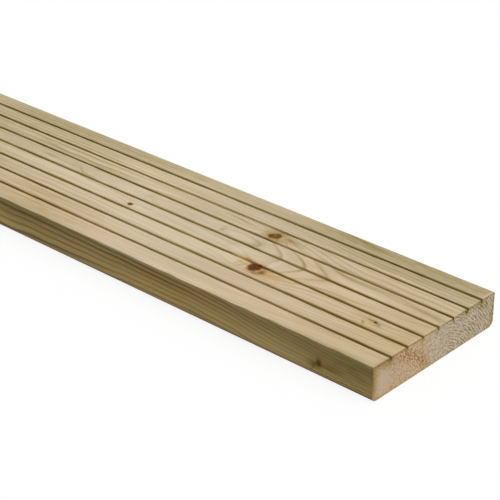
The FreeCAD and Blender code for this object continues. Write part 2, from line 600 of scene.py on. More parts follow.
    def from_knot(self, knot: Knot, along: Array, across: Array, height: Array) -> tuple[Array, Array, Array]:
        """Measure points against a knot's axis, which runs from the pith straight out to the knot's place.

        Args:
            knot: the knot.
            along: from the near end.
            across: across the board.
            height: above the underside.

        Returns:
            How far each point lies from the axis along the board, how far beside it, and how far out from the pith
            as a share of the way to the knot's place.
        """
        least_share = 0.02
        crown = MM * float(self.crown.at(np.array([knot.along * MM]))[0])
        out = np.array([knot.across * MM - crown, knot.height * MM - self.pith_height])
        full = float(np.linalg.norm(out))
        out /= full
        beside, above = across - crown, height - self.pith_height
        share = np.maximum((beside * out[0] + above * out[1]) / full, least_share)
        return along - knot.along * MM, beside * out[1] - above * out[0], share

    def nearest_knot(self, along: Array, across: Array, height: Array) -> dict[str, Array]:
        """Place points against their nearest knot.

        Args:
            along: from the near end.
            across: across the board.
            height: above the underside.

        Returns:
            The offsets from its axis along the board and beside it, in radii of the knot at that depth, the length
            of the two together, at most 9, and the knot's tone.
        """
        most = 9.0
        found = {"knot_ahead": np.full(along.shape, most), "knot_aside": np.zeros(along.shape),
                 "knot": np.full(along.shape, most), "knot_tone": np.zeros(along.shape)}
        for knot in self.knots:
            ahead, aside, share = self.from_knot(knot, along, across, height)
            ahead, aside = ahead / (knot.radius * knot.stretch * MM * share), aside / (knot.radius * MM * share)
            ratio = np.hypot(ahead, aside)
            closer = ratio < found["knot"]
            for name, values in (("knot_ahead", ahead), ("knot_aside", aside), ("knot", ratio)):
                found[name][closer] = values[closer]
            found["knot_tone"][closer] = knot.tone.value
        return found

    def tint(self, tint: Tint, patches: tuple[Patch, ...], along: Array, aside: Array) -> Array:
        """Add up the Gaussians of all the broad patches of one tint."""
        weights = [patch.weight(along, aside) for patch in patches if patch.tint is tint and not patch.is_fine]
        return np.sum(weights, axis=0) if weights else np.zeros(along.shape)


class Bench:
    """Adds nodes to one node tree, with their inputs set or linked as they are made."""

    def __init__(self, owner: NodeTree | Material | bpy.types.World) -> None:
        """Take a node group, or a material or world, whose own nodes are cleared away."""
        if not isinstance(owner, NodeTree):
            owner.use_nodes = True
            owner.node_tree.nodes.clear()
            owner = owner.node_tree
        self.tree = owner

    def add(self, kind: str, inputs: dict[Any, Any] | None = None, **settings: Any) -> bpy.types.Node:
        """Add one node.

        Args:
            kind: the node's type name.
            inputs: socket name or number to a socket, which is linked, or to a value.
            settings: the node's own properties.

        Returns:
            The node.
        """
        node = self.tree.nodes.new(kind)
        for name, value in settings.items():
            setattr(node, name, value)
        for key, value in (inputs or {}).items():
            if isinstance(value, Socket):
                self.tree.links.new(value, node.inputs[key])
            else:
                node.inputs[key].default_value = value
        return node

    def group(self, tree: NodeTree, inputs: dict[str, Any]) -> Any:
        """Place a shared group and return its output sockets."""
        return self.add("ShaderNodeGroup", inputs, node_tree=tree).outputs

    def math(self, operation: str, *values: Any, clamp: bool = False) -> Socket:
        """Add a Math node on one, two or three values."""
        return self.add("ShaderNodeMath", dict(enumerate(values)), operation=operation, use_clamp=clamp).outputs[0]

    def times(self, *values: Any) -> Socket:
        """Multiply values together."""
        product = values[0]
        for value in values[1:]:
            product = self.math("MULTIPLY", product, value)
        return product

    def rest(self, value: Any) -> Socket:
        """Take a value from 1."""
        return self.math("SUBTRACT", 1.0, value)

    def vector(self, operation: str, *values: Any) -> Socket:
        """Add a Vector Math node on two or three vectors, and return its number or its vector."""
        node = self.add("ShaderNodeVectorMath", dict(enumerate(values)), operation=operation)
        return node.outputs["Value" if operation == "DOT_PRODUCT" else "Vector"]

    def parts(self, vector: Any) -> Any:
        """Take a vector apart, and return the sockets of its X, Y and Z."""
        return self.add("ShaderNodeSeparateXYZ", {0: vector}).outputs

    def joined(self, *values: Any) -> Socket:
        """Join two or three numbers into a vector."""
        return self.add("ShaderNodeCombineXYZ", dict(enumerate(values))).outputs[0]

    def turned(self, vector: Any, angle: Any, axis: str) -> Socket:
        """Turn a vector round the X, Y or Z axis."""
        inputs = {"Vector": vector, "Angle": angle}
        return self.add("ShaderNodeVectorRotate", inputs, rotation_type=f"{axis}_AXIS").outputs[0]

    def brightened(self, colour: Any, factor: Any) -> Socket:
        """Multiply a colour by a number."""
        return self.add("ShaderNodeVectorMath", {0: colour, "Scale": factor}, operation="SCALE").outputs[0]

    def mix(self, share: Any, one: Any, other: Any) -> Socket:
        """Mix two colours, giving the other the stated share."""
        one, other = (c if isinstance(c, Socket) else (*c, 1.0) for c in (one, other))
        return self.add("ShaderNodeMix", {0: share, 6: one, 7: other}, data_type="RGBA").outputs[2]

    def ease(self, value: Any, start: Any, end: Any, low: float = 0.0, high: float = 1.0) -> Socket:
        """Map a value smoothly from start..end to low..high, and hold it there beyond."""
        settings = {"Value": value, "From Min": start, "From Max": end, "To Min": low, "To Max": high}
        return self.add("ShaderNodeMapRange", settings, interpolation_type="SMOOTHSTEP").outputs[0]

    def noise(self, place: Any, scale: float = 1.0, detail: float = 3.0, rough: float = 0.5) -> Socket:
        """Add smooth noise of about 0 to 1 round 0.5."""
        inputs = {"Vector": place, "Scale": scale, "Detail": detail, "Roughness": rough}
        return self.add("ShaderNodeTexNoise", inputs).outputs["Fac"]

    def drawn_out(self, place: Any, along: float, across: float, shift: float = 0.0, **settings: float) -> Socket:
        """Add noise that changes over so many metres along the grain and across it. The shift picks its start."""
        scaled = self.vector("MULTIPLY_ADD", place, (1 / along, 1 / across, 1 / across), (shift, shift, shift))
        return self.noise(scaled, **settings)

    def balanced(self, noise: Any) -> Socket:
        """Take half of 1 from noise, so that it goes to both sides of 0."""
        return self.math("SUBTRACT", noise, 0.5)

    def attribute(self, name: str) -> Socket:
        """Read a number that the mesh carries at its vertices."""
        return self.add("ShaderNodeAttribute", attribute_name=name).outputs["Fac"]

    def seen_directly(self) -> Socket:
        """Tell whether the camera sees a place itself, in a reflection or through glass, as 1, or otherwise 0."""
        rays = self.add("ShaderNodeLightPath").outputs
        mirrored = self.math("MAXIMUM", rays["Is Glossy Ray"], rays["Is Transmission Ray"])
        return self.math("MAXIMUM", rays["Is Camera Ray"], mirrored)

    def chosen(self, share: Any, one: float, other: float) -> Socket:
        """Mix two numbers, giving the other the stated share."""
        return self.add("ShaderNodeMix", {0: share, 2: one, 3: other}, data_type="FLOAT").outputs[0]

    def finish_group(self, result: bpy.types.Node, outputs: dict[str, Any]) -> NodeTree:
        """Link what each of a node group's outputs puts out, and return the group."""
        for name, socket in outputs.items():
            self.tree.links.new(socket, result.inputs[name])
        return self.tree


def node_group(name: str, inputs: dict[str, Any], outputs: tuple[str, ...]) -> tuple[Bench, Any, bpy.types.Node]:
    """Start a shader node group.

    Args:
        name: the group's name.
        inputs: socket name to its default, a number, or None for a vector.
        outputs: the names of its outputs. One that is named Colour is a colour, and the others are numbers.

    Returns:
        A bench on the group's tree, its input sockets, and its output node.
    """
    tree = bpy.data.node_groups.new(name, "ShaderNodeTree")
    for label, default in inputs.items():
        kind = "NodeSocketVector" if default is None else "NodeSocketFloat"
        socket = tree.interface.new_socket(name=label, in_out="INPUT", socket_type=kind)
        if default is not None:
            socket.default_value = default
    for label in outputs:
        kind = "NodeSocketColor" if label == "Colour" else "NodeSocketFloat"
        tree.interface.new_socket(name=label, in_out="OUTPUT", socket_type=kind)
    return Bench(tree), tree.nodes.new("NodeGroupInput").outputs, tree.nodes.new("NodeGroupOutput")


class GrainTools:
    """The node groups that the board's finishes share."""

    def __init__(self) -> None:
        """Build each group once."""
        self.rings = self.build_rings()
        self.fibres = self.build_fibres()
        self.knots = self.build_knots()
        self.mottle = self.build_mottle()
        self.mark = self.build_mark()
        self.stain = self.build_stain()

    def build_rings(self) -> NodeTree:
        """Turn the ring number into latewood: a band that darkens through the year, and a line where it ends.

        The pace is how many rings pass in a metre of the face. Pace times width is the line's share of the year, and
        so the line is as wide where the rings lie close as where they lie far apart.

        Returns:
            The group.
        """
        bench, given, result = node_group(
            "Growth rings", {"Ring": 0.0, "Pace": 300.0, "Place": None, "Waver": 0.12, "Width": 4.0 * MM},
            ("Band", "Line", "Year tone"))
        least_share, most_share, above_zero = 0.06, 0.5, 200.0
        wander = bench.balanced(bench.drawn_out(given["Place"], 0.030, 0.0035))
        shift = bench.times(wander, given["Waver"])
        number = bench.math("ADD", bench.math("ADD", given["Ring"], above_zero), shift)
        share = bench.math("FRACT", number)
        width = bench.math("MAXIMUM", bench.times(given["Pace"], given["Width"]), least_share)
        width = bench.math("MINIMUM", width, most_share)
        fall = bench.ease(share, bench.math("MULTIPLY_ADD", width, -0.45, 1.0), 1.0, 1.0, 0.0)
        band = bench.times(bench.ease(share, 0.30, 0.95), fall)
        line = bench.ease(share, bench.rest(width), bench.math("MULTIPLY_ADD", width, -0.35, 1.0))
        tone = bench.add("ShaderNodeTexWhiteNoise", {"W": bench.math("FLOOR", number)}, noise_dimensions="1D")
        return bench.finish_group(
            result, {"Band": band, "Line": bench.times(line, fall), "Year tone": tone.outputs["Value"]})

    def build_fibres(self) -> NodeTree:
        """Streak the wood along its grain: straight thin streaks, and broader ones that follow the growth rings."""
        bench, given, result = node_group("Fibres", {"Ring": 0.0, "Place": None}, ("Fine", "Figure"))
        figure_length, figures_a_ring = 0.09, 2.3
        fine = bench.drawn_out(given["Place"], 0.035, 0.0008, detail=4.0, rough=0.6)
        along = bench.math("DIVIDE", bench.parts(given["Place"])["X"], figure_length)
        figure = bench.noise(bench.joined(along, bench.times(given["Ring"], figures_a_ring)), detail=4.0, rough=0.7)
        return bench.finish_group(result, {"Fine": fine, "Figure": figure})

    def build_knots(self) -> NodeTree:
        """Turn the offsets from a knot, in its radii, into its heart, its dark bark ring and the glow round it.

        The offsets cross zero falsely between two knots, so that the smooth ratio also has to be small there.

        Returns:
            The group.
        """
        bench, given, result = node_group(
            "Knots", {"Ahead": 9.0, "Aside": 0.0, "Ratio": 9.0, "Place": None}, ("Heart", "Bark", "Glow", "Check"))
        most_uneven, close, far = 0.8, 3.2, 4.0
        aside = bench.times(given["Aside"], given["Aside"])
        ratio = bench.math("SQRT", bench.math("MULTIPLY_ADD", given["Ahead"], given["Ahead"], aside))
        uneven = bench.balanced(bench.noise(given["Place"], scale=330.0))
        ratio = bench.math("ADD", ratio, bench.times(uneven, most_uneven))
        near = bench.ease(given["Ratio"], close, far, 1.0, 0.0)
        return bench.finish_group(result, {
            "Heart": bench.times(near, bench.ease(ratio, 0.65, 1.32, 1.0, 0.0)),
            "Bark": bench.times(near, bench.ease(ratio, 0.40, 0.85), bench.ease(ratio, 0.85, 1.30, 1.0, 0.0)),
            "Glow": bench.times(near, bench.ease(ratio, 0.9, 2.4, 1.0, 0.0)),
            "Check": bench.ease(bench.noise(given["Place"], scale=900.0, detail=1.0), 0.55, 0.7)})

    def build_stain(self) -> NodeTree:
        """Lay coats of a stain: the colour under it times the share that one coat lets through, to the power of how
        many coats there are."""
        bench, given, result = node_group("Stain", {"Under": None, "Stain": None, "Coats": 1.0}, ("Colour",))
        through = bench.parts(given["Stain"])
        left = bench.joined(*(bench.math("POWER", through[axis], given["Coats"]) for axis in "XYZ"))
        return bench.finish_group(result, {"Colour": bench.vector("MULTIPLY", given["Under"], left)})

    def build_mark(self) -> NodeTree:
        """Work out one fine patch: a turned two-way Gaussian round its middle, in the plane of its face."""
        bench, given, result = node_group(
            "Soft mark", {"Place": None, "Middle": None, "Reach": None, "Turn": 0.0, "Strength": 1.0}, ("Weight",))
        offset = bench.turned(bench.vector("SUBTRACT", given["Place"], given["Middle"]), given["Turn"], "Z")
        ratio = bench.vector("DIVIDE", offset, given["Reach"])
        weight = bench.math("EXPONENT", bench.times(bench.vector("DOT_PRODUCT", ratio, ratio), -1.0))
        return bench.finish_group(result, {"Weight": bench.times(weight, given["Strength"])})

    def build_mottle(self) -> NodeTree:
        """Change the wood broadly and softly along the board: its warmth, its stain, and its light and dark."""
        bench, given, result = node_group("Mottle", {"Place": None}, ("Warm", "Stain", "Light"))
        sizes = {"Warm": (0.110, 0.011, 3.0), "Stain": (0.060, 0.006, 11.0), "Light": (0.190, 0.016, 23.0)}
        made = {name: bench.ease(bench.drawn_out(given["Place"], *size), 0.32, 0.68) for name, size in sizes.items()}
        return bench.finish_group(result, made)


class WoodBench(Bench):
    """A bench on a new wooden material, with the shared node groups and the place on the board at hand."""

    def __init__(self, name: str, tools: GrainTools) -> None:
        """Start the material of that name, and note the shared node groups."""
        self.material = bpy.data.materials.new(name)
        super().__init__(self.material)
        self.tools = tools
        self.place = self.add("ShaderNodeTexCoord").outputs["Object"]
        self.ring = self.attribute("ring")

    def growth(self, **settings: float) -> Any:
        """Place the growth rings' group at the mesh's own ring numbers, and return its output sockets."""
        inputs = {"Ring": self.ring, "Pace": self.attribute("pace"), "Place": self.place}
        return self.group(self.tools.rings, {**inputs, **settings})

    def coated(self, colour: Any, coats: Any, stain: Any) -> Socket:
        """Lay so many coats of a stain over a colour."""
        return self.group(self.tools.stain, {"Under": colour, "Stain": stain, "Coats": coats})["Colour"]

    def dressed(self, colour: Any, roughness: Any, height: Any, relief: float, strength: float) -> Material:
        """Finish the material as dull wood of this colour and roughness, with a fine relief of 0 to 1 that is so
        high in metres and shows so strongly, and return it."""
        shine = 0.02
        bump = self.add("ShaderNodeBump", {"Height": height, "Distance": relief, "Strength": strength})
        shader = self.add("ShaderNodeBsdfPrincipled", {
            "Base Color": colour, "Roughness": roughness, "Normal": bump.outputs[0], "Specular IOR Level": shine})
        self.add("ShaderNodeOutputMaterial", {"Surface": shader.outputs[0]})
        return self.material


@dataclass(frozen=True)
class LongGrainFinish:
    """A face that runs with the grain, with the colours of its wood, its stain and its knots.

    Attributes:
        name: the material's name.
        early: the wood that grows early in the year.
        late: the wood that ends it.
        warm: its warmer stretches.
        stained: its greener stretches.
        band_share: how strongly the year's slow darkening shows.
        line_share: how strongly the line at its end shows.
        line_width: how broad that line is on the face, with its soft sides.
        year_spread: how strongly the palest and the darkest year show, of the mean.
        streak: the spread of light and dark along the fibres.
        plain_clarity: how clearly the rings show away from the clear patches.
        top_shade: how light the face is at its top edge, of what it is below.
        roughness: of the surface.
        rough_spread: how much rougher and smoother the fibres make it.
        relief: how high the fibres stand.
        aside: the coordinate that runs across the face.
        marks: the fine patches to draw on it.
        face_end: the near end's place, which the marks are measured from.
        groove_deep: the stain and painted shade in the grooves' darker stretches.
        groove_light: the stain and painted shade in their paler stretches.
        fringe: the stain beside them.
        worn: the stain on the worn top edges.
        knot_red: the stain of a red-brown knot.
        knot_brown: that of an olive-brown one.
        knot_black: that of a nearly black one.
        glow: the stain round a knot.
        light: the colour of the pale patches.
        tints: for each tint its stain, and how many coats of it a broad patch of strength 1 has.
    """

    name: str
    early: Colour
    late: Colour
    warm: Colour
    stained: Colour
    band_share: float = 0.30
    line_share: float = 0.75
    line_width: float = 4.0 * MM
    year_spread: tuple[float, float] = (0.45, 1.1)
    streak: float = 0.07
    plain_clarity: float = 0.26
    top_shade: float = 1.0
    roughness: float = 0.75
    rough_spread: float = 0.06
    relief: float = 0.10 * MM
    aside: str = "Y"
    marks: tuple[Patch, ...] = ()
    face_end: float = 0.9
    groove_deep: Colour = coat(138, 112, 58)
    groove_light: Colour = coat(166, 142, 90)
    fringe: Colour = coat(168, 147, 98)
    worn: Colour = coat(144, 128, 84)
    knot_red: Colour = coat(99, 62, 36)
    knot_brown: Colour = coat(134, 109, 67)
    knot_black: Colour = coat(98, 76, 40)
    glow: Colour = coat(188, 158, 112)
    light: Colour = srgb(218, 203, 177)
    tints: tuple[tuple[Tint, Colour, float], ...] = (
        (Tint.PINK, coat(208, 182, 155), 0.8),
        (Tint.OCHRE, coat(190, 164, 118), 0.8),
        (Tint.OLIVE, coat(160, 146, 104), 0.8),
        (Tint.ORANGE, coat(190, 152, 104), 0.8),
        (Tint.BROWN, coat(156, 128, 82), 1.0),
        (Tint.DARK, coat(84, 56, 28), 1.0),
    )

    def build(self, tools: GrainTools) -> Material:
        """Build the material.

        Args:
            tools: the shared node groups.

        Returns:
            The material.
        """
        bench = WoodBench(self.name, tools)
        rings = bench.growth(Width=self.line_width)
        fibres = bench.group(tools.fibres, {"Ring": bench.ring, "Place": bench.place})
        knots = bench.group(tools.knots, {
            "Ahead": bench.attribute("knot_ahead"), "Aside": bench.attribute("knot_aside"),
            "Ratio": bench.attribute("knot"), "Place": bench.place})
        colour = self.plain_wood(bench, rings, fibres)
        colour = self.tinted(bench, colour)
        colour = self.grooved(bench, knots["Heart"], colour)
        colour = self.knotted(bench, knots, colour)
        colour = bench.coated(colour, bench.attribute("worn"), self.worn)
        smoothest, roughest = self.roughness - self.rough_spread, self.roughness + self.rough_spread
        rough = bench.ease(fibres["Fine"], 0.2, 0.8, smoothest, roughest)
        line_height = 0.4
        height = bench.math("MULTIPLY_ADD", rings["Line"], line_height, fibres["Fine"])
        return bench.dressed(colour, rough, height, self.relief, strength=0.6)

    def plain_wood(self, bench: WoodBench, rings: Any, fibres: Any) -> Socket:
        """Colour the clean wood: early wood coated by the year's growth, with warmer, greener and lighter stretches.

        Args:
            bench: the material's bench.
            rings: the outputs of the rings' group.
            fibres: the outputs of the fibres' group.

        Returns:
            The colour.
        """
        warm_share, stained_share, light_spread = 0.35, 0.30, 0.04
        figure_spread = 1.3 * self.streak
        mottle = bench.group(bench.tools.mottle, {"Place": bench.place})
        tone = bench.ease(rings["Year tone"], 0.0, 1.0, *self.year_spread)
        broken = bench.ease(fibres["Figure"], 0.30, 0.65, 0.55, 1.1)
        line = bench.times(rings["Line"], broken, self.line_share)
        late = bench.math("MULTIPLY_ADD", rings["Band"], self.band_share, line)
        clarity = bench.math("ADD", bench.attribute(Tint.CLEAR.value), self.plain_clarity, clamp=True)
        colour = bench.mix(bench.times(mottle["Warm"], warm_share), self.early, self.warm)
        colour = bench.mix(bench.times(mottle["Stain"], stained_share), colour, self.stained)
        colour = bench.coated(colour, bench.times(late, tone, clarity), self.late)
        fine = bench.ease(fibres["Fine"], 0.25, 0.75, 1 - self.streak, 1 + self.streak)
        figure = bench.ease(fibres["Figure"], 0.30, 0.70, 1 - figure_spread, 1 + figure_spread)
        light = bench.ease(mottle["Light"], 0.0, 1.0, 1 - light_spread, 1 + light_spread)
        shade = bench.ease(bench.parts(bench.place)["Z"], 9 * MM, 22 * MM, 1.0, self.top_shade)
        return bench.brightened(colour, bench.times(fine, figure, light, shade))

    def tinted(self, bench: WoodBench, colour: Any) -> Socket:
        """Lay one stain for each tint, as thickly as its patches add up to, and lighten the pale patches.

        The mesh carries the broad patches, which are clouded here. The fine ones are drawn here, in places that
        stray a little, so that their outlines waver.

        Args:
            bench: the material's bench.
            colour: the wood under the tints.

        Returns:
            The colour.
        """
        most_stray, pale_share = 1.6 * MM, 0.6
        cloud = bench.ease(bench.drawn_out(bench.place, 0.012, 0.003), 0.25, 0.75, 0.65, 1.25)
        stray = bench.add("ShaderNodeTexNoise", {"Vector": bench.place, "Scale": 420.0, "Detail": 2.0})
        moved = bench.vector("MULTIPLY_ADD", stray.outputs["Color"], (most_stray,) * 3, (-most_stray / 2,) * 3)
        parts = bench.parts(bench.vector("ADD", moved, bench.place))
        flat = bench.joined(parts["X"], parts[self.aside])
        for tint, shown, share in (*self.tints, (Tint.PALE, None, pale_share)):
            coats = bench.times(bench.attribute(tint.value), cloud, share)
            for patch in self.marks:
                if patch.tint is tint:
                    coats = bench.math("ADD", coats, bench.group(bench.tools.mark, {
                        "Place": flat, "Middle": (self.face_end - patch.along * MM, patch.aside * MM, 0.0),
                        "Reach": (patch.half_length * MM, patch.half_width * MM, 1.0),
                        "Turn": -math.radians(patch.turn), "Strength": patch.strength})["Weight"])
            if shown:
                colour = bench.coated(colour, coats, shown)
            else:
                colour = bench.mix(bench.math("MINIMUM", coats, 1.0), colour, self.light)
        return colour

    def knotted(self, bench: WoodBench, knots: Any, colour: Any) -> Socket:
        """Stain the knots, darkest in their bark, with a glow round them.

        Args:
            bench: the material's bench.
            knots: the outputs of the knots' group.
            colour: the wood under them.

        Returns:
            The colour.
        """
        glow_coats, bark_coats, check_coats = 0.40, 0.06, -0.18
        tone = bench.attribute("knot_tone")
        heart = bench.mix(bench.ease(tone, 0.0, 0.5), self.knot_red, self.knot_brown)
        heart = bench.mix(bench.ease(tone, 0.5, 1.0), heart, self.knot_black)
        colour = bench.coated(colour, bench.times(knots["Glow"], glow_coats), self.glow)
        thick = bench.math("MULTIPLY_ADD", knots["Bark"], bark_coats, 1.0)
        thick = bench.math("MULTIPLY_ADD", knots["Check"], check_coats, thick)
        return bench.coated(colour, bench.times(knots["Heart"], thick), heart)

    def grooved(self, bench: WoodBench, heart: Any, colour: Any) -> Socket:
        """Darken the grooves with stain and painted shade, with a paler fringe beside each, both uneven along the
        board, and spare the knots.

        Args:
            bench: the material's bench.
            heart: 1 in a knot and 0 beside it.
            colour: the wood under the stain.

        Returns:
            The colour.
        """
        fringe_coats, most_uneven, fading_from, fading_to = 0.7, 1.6 * MM, 0.04, 0.13
        uneven = bench.balanced(bench.drawn_out(bench.place, 0.016, 0.010, 5.0))
        reach = bench.math("MULTIPLY_ADD", uneven, -most_uneven, bench.attribute("beside"))
        faded = bench.math("MAXIMUM", bench.attribute(Tint.FADED.value), heart)
        bare = bench.math("MAXIMUM", bench.rest(faded), 0.0)
        fringe = bench.times(bench.ease(reach, 1.0 * MM, 2.2 * MM, 1.0, 0.0), bench.attribute("upward"))
        colour = bench.coated(colour, bench.times(fringe, bare, fringe_coats), self.fringe)
        slow = bench.drawn_out(bench.place, 0.040, 0.010, 9.0)
        deep = bench.mix(bench.ease(slow, 0.40, 0.64), self.groove_deep, self.groove_light)
        thick = bench.ease(bench.drawn_out(bench.place, 0.022, 0.010, 13.0), 0.35, 0.65, 0.82, 1.18)
        along = bench.parts(bench.place)["X"]
        nearer = bench.ease(along, self.face_end - fading_to, self.face_end - fading_from, 0.84, 1.06)
        # Painted shade as well as the stain: the grooves' colour darkens with the depth in them.
        sunk = bench.ease(bench.attribute("groove"), 0.04, 0.40)
        return bench.coated(colour, bench.times(sunk, bench.times(thick, nearer, bare)), deep)


@dataclass(frozen=True)
class SawnEndFinish:
    """The sawn ends: torn end grain, clear rings towards the back, and a rim that the preservative has darkened.

    Attributes:
        name: the material's name.
        warm: the wood towards the front.
        grey: the wood towards the back.
        smooth: the wood where the saw has burnished it.
        fleck: its raised fibres.
        late: the stain of the rings, and of the torn fibres towards the back.
        warm_speck: the stain of the torn fibres towards the front.
        red: the stain of the reddish patches.
        rim: the stain of the rim.
        roughness: of the surface.
        relief: how high the fibres stand.
    """

    name: str = "sawn_end"
    warm: Colour = srgb(217, 190, 155)
    grey: Colour = srgb(216, 200, 174)
    smooth: Colour = srgb(208, 187, 162)
    fleck: Colour = srgb(232, 214, 184)
    late: Colour = coat(134, 112, 82)
    warm_speck: Colour = coat(150, 112, 78)
    red: Colour = coat(180, 138, 94)
    rim: Colour = coat(160, 141, 86)
    roughness: float = 0.8
    relief: float = 0.30 * MM

    def build(self, tools: GrainTools) -> Material:
        """Build the material.

        Args:
            tools: the shared node groups.

        Returns:
            The material.
        """
        bench = WoodBench(self.name, tools)
        fibre_length, fibres_a_ring, tears_a_metre = 6.5 * MM, 2.8, (400.0, 400.0, 950.0)
        ring_coats, fleck_share, sunken = 1.25, 0.35, -0.4
        across = bench.parts(bench.place)["Y"]
        round_pith = bench.math("DIVIDE", bench.attribute("round"), fibre_length)
        torn = bench.noise(bench.joined(bench.times(bench.ring, fibres_a_ring), round_pith), rough=0.6)
        slanted = bench.turned(bench.place, math.radians(45), "X")
        tears = bench.noise(bench.vector("MULTIPLY", slanted, tears_a_metre), rough=0.6)
        smooth = bench.rest(bench.math("MULTIPLY", bench.attribute(Tint.PINK.value), 1.0, clamp=True))
        speck = bench.times(bench.ease(tears, 0.46, 0.66), smooth)

        colour = bench.mix(bench.ease(across, -14 * MM, 2 * MM), self.warm, self.grey)
        colour = bench.mix(bench.rest(smooth), colour, self.smooth)
        ringed = bench.times(bench.ease(bench.growth(Waver=0.5)["Band"], 0.25, 0.85),
                             bench.ease(across, -4 * MM, 28 * MM), bench.ease(torn, 0.38, 0.62))
        colour = bench.coated(colour, bench.times(ringed, ring_coats), self.late)
        speck_stain = bench.mix(bench.ease(across, -14 * MM, 4 * MM), self.warm_speck, self.late)
        speck_share = bench.ease(across, -30 * MM, 5 * MM, 0.30, 0.36)
        colour = bench.coated(colour, bench.times(speck, speck_share), speck_stain)
        fleck = bench.times(bench.ease(tears, 0.48, 0.30), smooth)
        colour = bench.mix(bench.times(fleck, fleck_share), colour, self.fleck)
        streak = bench.times(bench.ease(torn, 0.50, 0.68), smooth)
        colour = bench.coated(colour, bench.times(streak, bench.ease(across, 0.0, 30 * MM, 0.40, 0.54)), self.late)
        red = bench.times(bench.attribute(Tint.ORANGE.value), bench.ease(tears, 0.42, 0.58, 0.0, 1.2))
        colour = self.rimmed(bench, bench.coated(colour, red, self.red))

        height = bench.times(bench.math("ADD", torn, bench.times(speck, sunken)), smooth)
        return bench.dressed(colour, self.roughness, height, self.relief, strength=0.9)

    def rimmed(self, bench: WoodBench, colour: Any) -> Socket:
        """Stain the olive and ochre patches, and an uneven rim that is fainter towards the underside."""
        patch_coats, rim_coats, most_uneven = 0.6, 0.62, 3.5 * MM
        patches = bench.math("ADD", bench.attribute(Tint.OLIVE.value), bench.attribute(Tint.OCHRE.value))
        colour = bench.coated(colour, bench.times(patches, patch_coats), self.rim)
        uneven = bench.balanced(bench.noise(bench.place, scale=260.0))
        depth = bench.math("MULTIPLY_ADD", uneven, most_uneven, bench.attribute("rim"))
        edge = bench.ease(depth, 0.3 * MM, 2.4 * MM, rim_coats, 0.0)
        higher = bench.ease(bench.parts(bench.place)["Z"], 2 * MM, 12 * MM, 0.4, 0.9)
        return bench.coated(colour, bench.times(edge, higher), self.rim)


def placed(name: str, data: Any) -> bpy.types.Object:
    """Put a new object with the given mesh, lamp or camera in the scene, and return it."""
    made = bpy.data.objects.new(name, data)
    bpy.context.scene.collection.objects.link(made)
    return made


